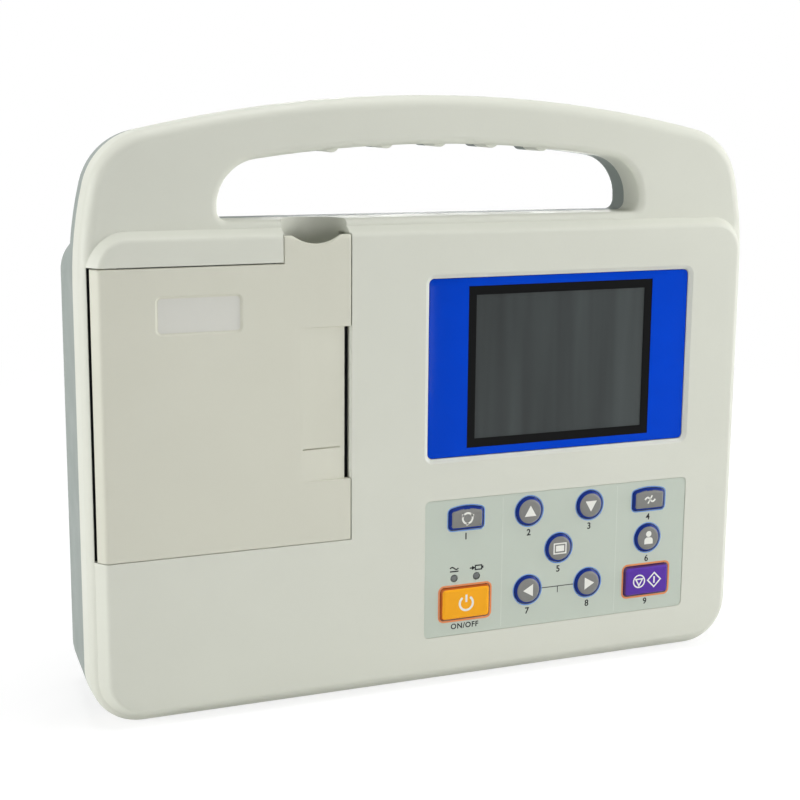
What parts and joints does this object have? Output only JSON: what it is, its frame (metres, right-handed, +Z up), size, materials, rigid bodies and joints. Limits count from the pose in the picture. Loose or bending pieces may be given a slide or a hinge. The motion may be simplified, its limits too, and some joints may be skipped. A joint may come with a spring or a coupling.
{
  "type": "portable electrocardiograph",
  "caption": "Upright portable ECG recorder with a carrying handle, a hinged paper door with a chart slot, a display window, a keypad of sprung keys and side connectors.",
  "frame": {"origin": "middle of the housing's width and depth, on the lower edge that it stands on", "axes": "+X to the operator's right, +Y from the front panel to the back, +Z up towards the handle"},
  "size_m": [0.26, 0.0616, 0.218],
  "materials": {
    "ivory_housing": "fine texture",
    "ivory_door": "fine texture",
    "grey_housing": "fine texture",
    "foot_rubber": "matt",
    "window_blue": "gloss",
    "display_panel": "gloss",
    "overlay_film": "satin film",
    "key_grey": "satin",
    "key_orange": "satin",
    "key_purple": "satin",
    "light_pipe": "clear",
    "silicone": "matt",
    "board_green": "lacquer",
    "board_parts": "matt",
    "ribbon": "film",
    "plated_steel": "zinc plated",
    "connector_metal": "nickel plated",
    "brass_pin": "nickel over brass",
    "inlet_black": "matt",
    "battery_wrap": "film",
    "speaker_black": "matt",
    "tray_black": "matt",
    "head_ceramic": "glazed",
    "head_aluminium": "plain",
    "gear_plastic": "satin",
    "platen_rubber": "matt",
    "chart_paper": "paper",
    "core_card": "card"
  },
  "bodies": {
    "housing": {"front_shell": "ivory_housing", "rear_shell": "grey_housing", "battery_cover": "grey_housing", "rubber_feet": "foot_rubber", "display_window": "window_blue", "lcd_panel": "display_panel", "keypad_overlay": "overlay_film", "indicator_lights": "light_pipe", "key_mat": "silicone", "key_board": "board_green", "main_board": "board_green", "power_board": "board_green", "main_board_parts": "board_parts", "power_board_parts": "board_parts", "board_header": "board_parts", "display_ribbon": "ribbon", "shell_screws": "plated_steel", "inner_screws": "plated_steel", "power_screws": "plated_steel", "cover_screws": "plated_steel", "jack_screws": "plated_steel", "hinge_pins": "plated_steel", "idler_stud": "plated_steel", "printer_chassis": "plated_steel", "display_bracket": "plated_steel", "feed_motor": "plated_steel", "lead_connector": "connector_metal", "inlet_pins": "connector_metal", "earth_pin": "brass_pin", "earth_nut": "brass_pin", "mains_inlet": "inlet_black", "battery_pack": "battery_wrap", "loudspeaker": "speaker_black", "paper_tray": "tray_black", "print_head": "head_ceramic", "head_sink": "head_aluminium"},
    "paper_door": {"paper_door": "ivory_door", "platen_bushes": "gear_plastic"},
    "platen": {"platen_roller": "platen_rubber", "platen_shaft": "plated_steel", "platen_gear": "gear_plastic"},
    "idler": {"idler_gear": "gear_plastic"},
    "pinion": {"motor_pinion": "gear_plastic", "motor_shaft": "plated_steel"},
    "paper_supply": {"paper_roll": "chart_paper", "roll_core": "core_card", "paper_spindle": "gear_plastic"},
    "key_mode_body": {"key_mode": "key_grey"},
    "key_up_body": {"key_up": "key_grey"},
    "key_down_body": {"key_down": "key_grey"},
    "key_filter_body": {"key_filter": "key_grey"},
    "key_menu_body": {"key_menu": "key_grey"},
    "key_patient_body": {"key_patient": "key_grey"},
    "key_left_body": {"key_left": "key_grey"},
    "key_right_body": {"key_right": "key_grey"},
    "key_power_body": {"key_power": "key_orange"},
    "key_run_body": {"key_run": "key_purple"}
  },
  "joints": [
    {"name": "door_hinge", "type": "hinge", "parent": "housing", "child": "paper_door", "pos_m": [-0.121, -0.0255, 0.11065], "axis": [0, 0, -1], "range_deg": [0, 100]},
    {"name": "platen_spin", "type": "hinge", "parent": "paper_door", "child": "platen", "pos_m": [-0.0431, -0.0205, 0.11065], "axis": [0, 0, 1], "continuous": true},
    {"name": "idler_spin", "type": "hinge", "parent": "housing", "child": "idler", "pos_m": [-0.0431, -0.00638, 0.148], "axis": [0, 0, 1], "continuous": true},
    {"name": "pinion_spin", "type": "hinge", "parent": "housing", "child": "pinion", "pos_m": [-0.0431, 0.00474, 0.148], "axis": [0, 0, 1], "continuous": true},
    {"name": "roll_spin", "type": "hinge", "parent": "housing", "child": "paper_supply", "pos_m": [-0.0924, -0.0022, 0.11065], "axis": [0, 0, 1], "continuous": true},
    {"name": "key_mode_press", "type": "slide", "parent": "housing", "child": "key_mode_body", "axis": [0, 1, 0], "range_m": [0, 0.001], "stiffness_N_per_m": 600},
    {"name": "key_up_press", "type": "slide", "parent": "housing", "child": "key_up_body", "axis": [0, 1, 0], "range_m": [0, 0.001], "stiffness_N_per_m": 600},
    {"name": "key_down_press", "type": "slide", "parent": "housing", "child": "key_down_body", "axis": [0, 1, 0], "range_m": [0, 0.001], "stiffness_N_per_m": 600},
    {"name": "key_filter_press", "type": "slide", "parent": "housing", "child": "key_filter_body", "axis": [0, 1, 0], "range_m": [0, 0.001], "stiffness_N_per_m": 600},
    {"name": "key_menu_press", "type": "slide", "parent": "housing", "child": "key_menu_body", "axis": [0, 1, 0], "range_m": [0, 0.001], "stiffness_N_per_m": 600},
    {"name": "key_patient_press", "type": "slide", "parent": "housing", "child": "key_patient_body", "axis": [0, 1, 0], "range_m": [0, 0.001], "stiffness_N_per_m": 600},
    {"name": "key_left_press", "type": "slide", "parent": "housing", "child": "key_left_body", "axis": [0, 1, 0], "range_m": [0, 0.001], "stiffness_N_per_m": 600},
    {"name": "key_right_press", "type": "slide", "parent": "housing", "child": "key_right_body", "axis": [0, 1, 0], "range_m": [0, 0.001], "stiffness_N_per_m": 600},
    {"name": "key_power_press", "type": "slide", "parent": "housing", "child": "key_power_body", "axis": [0, 1, 0], "range_m": [0, 0.001], "stiffness_N_per_m": 600},
    {"name": "key_run_press", "type": "slide", "parent": "housing", "child": "key_run_body", "axis": [0, 1, 0], "range_m": [0, 0.001], "stiffness_N_per_m": 600}
  ],
  "couplings": [
    {"joint": "idler_spin", "follows": "platen_spin", "ratio": -0.75},
    {"joint": "pinion_spin", "follows": "platen_spin", "ratio": 2}
  ]
}
